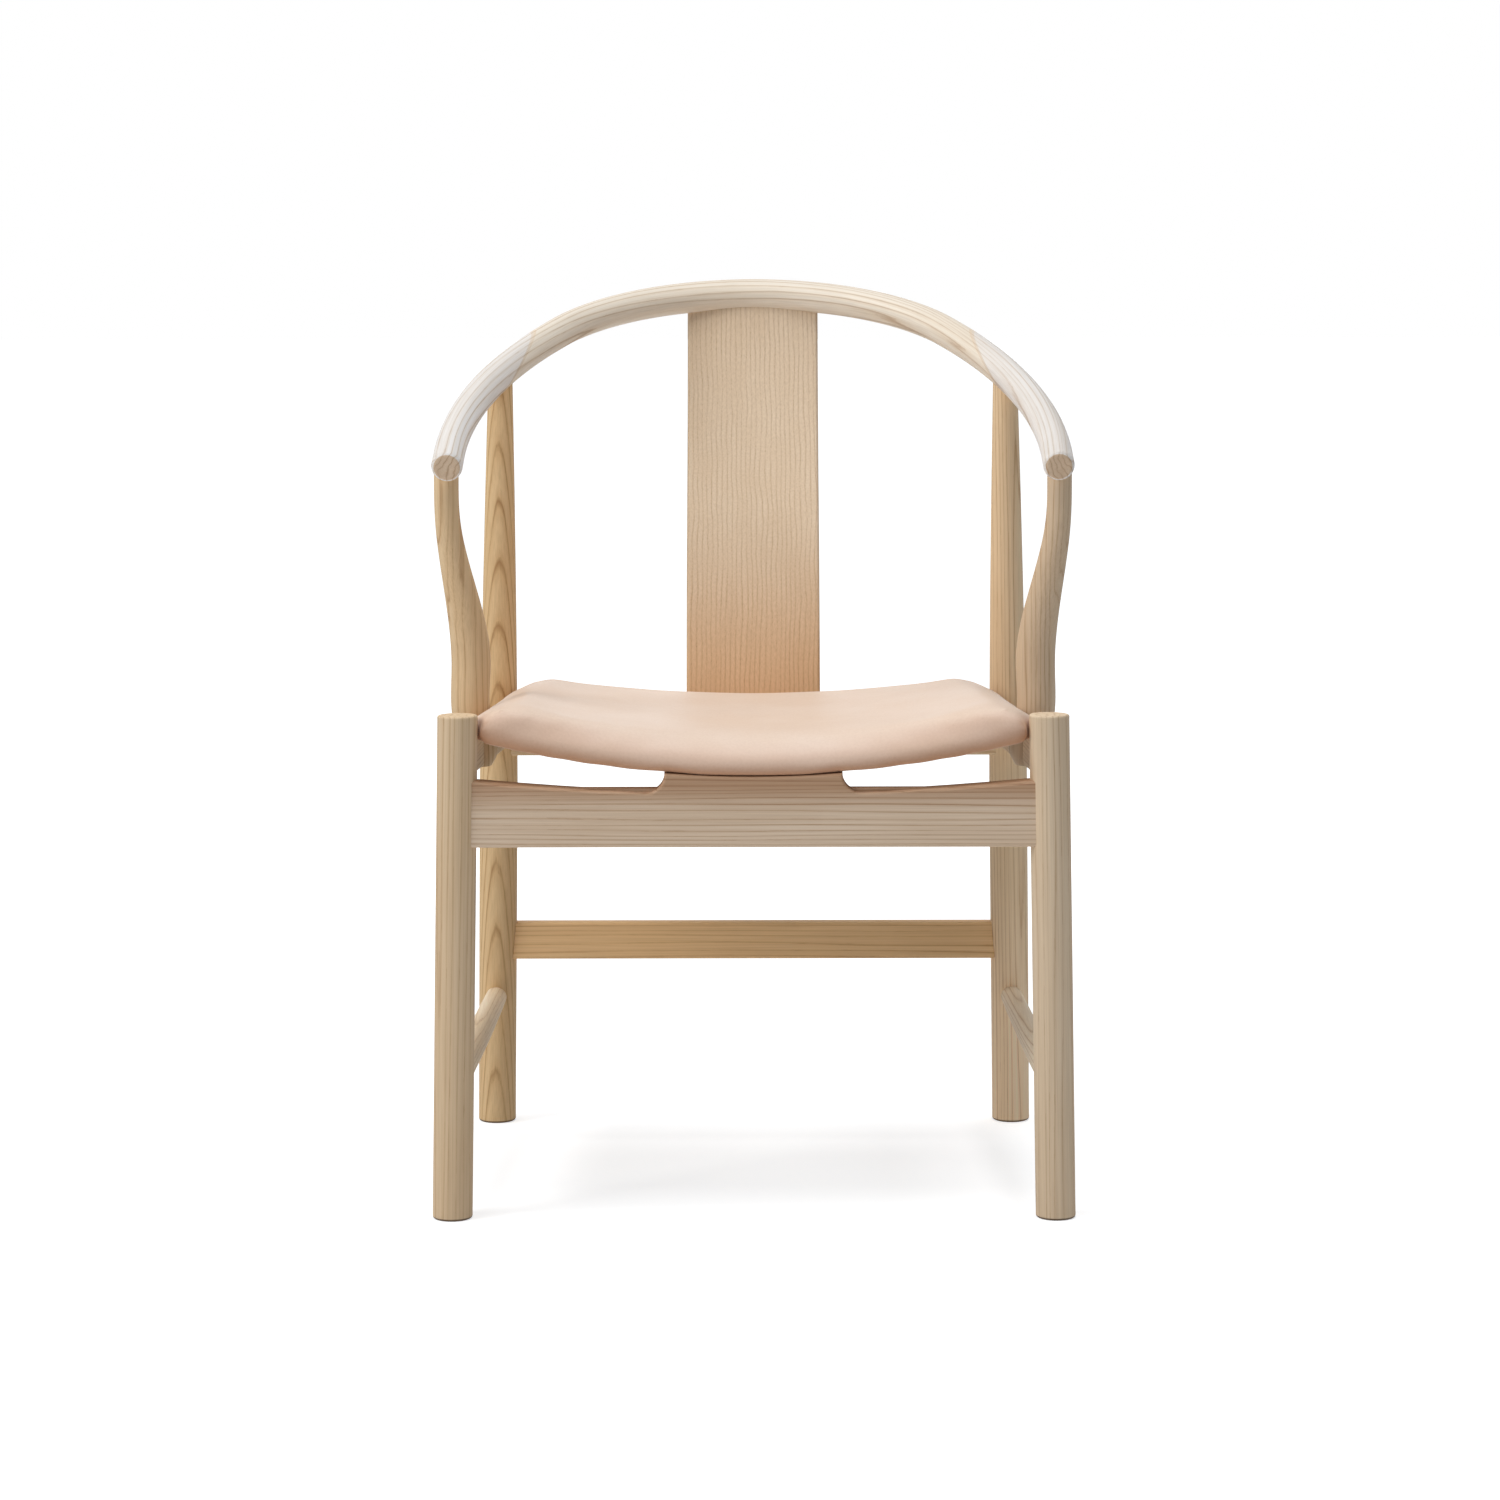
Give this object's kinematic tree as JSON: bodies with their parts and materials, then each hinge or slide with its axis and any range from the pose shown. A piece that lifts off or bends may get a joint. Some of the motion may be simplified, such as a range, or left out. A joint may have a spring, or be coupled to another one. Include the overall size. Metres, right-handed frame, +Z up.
{
  "type": "horseshoe back armchair",
  "caption": "Armchair with one horseshoe bow as back and arm rail, a bent splat, round legs and a saddle-shaped leather seat.",
  "frame": {"origin": "on the floor under the middle of the chair's overall box", "axes": "+Z up, the chair faces -Y, X runs across it, +X is the right-hand side seen from the front"},
  "size_m": [0.5564, 0.532, 0.8012],
  "materials": {
    "ash": "pale ash, soap treated, matt",
    "plywood": "birch plywood, bare",
    "foam": "open-cell upholstery foam",
    "leather": "natural tanned leather, satin",
    "lining": "woven dust cover",
    "screw_steel": "zinc plated"
  },
  "bodies": {
    "root": {"bow": "ash", "back_splat": "ash", "front_leg_left": "ash", "front_leg_right": "ash", "rear_leg_left": "ash", "rear_leg_right": "ash", "arm_support_left": "ash", "arm_support_right": "ash", "side_rail_left": "ash", "side_rail_right": "ash", "front_rail": "ash", "rear_rail": "ash", "rear_stretcher": "ash", "side_stretcher_left": "ash", "side_stretcher_right": "ash", "seat_block_left": "ash", "seat_block_right": "ash", "seat_board": "plywood", "seat_foam": "foam", "seat_leather": "leather", "seat_lining": "lining", "seat_screws": "screw_steel"}
  },
  "joints": []
}
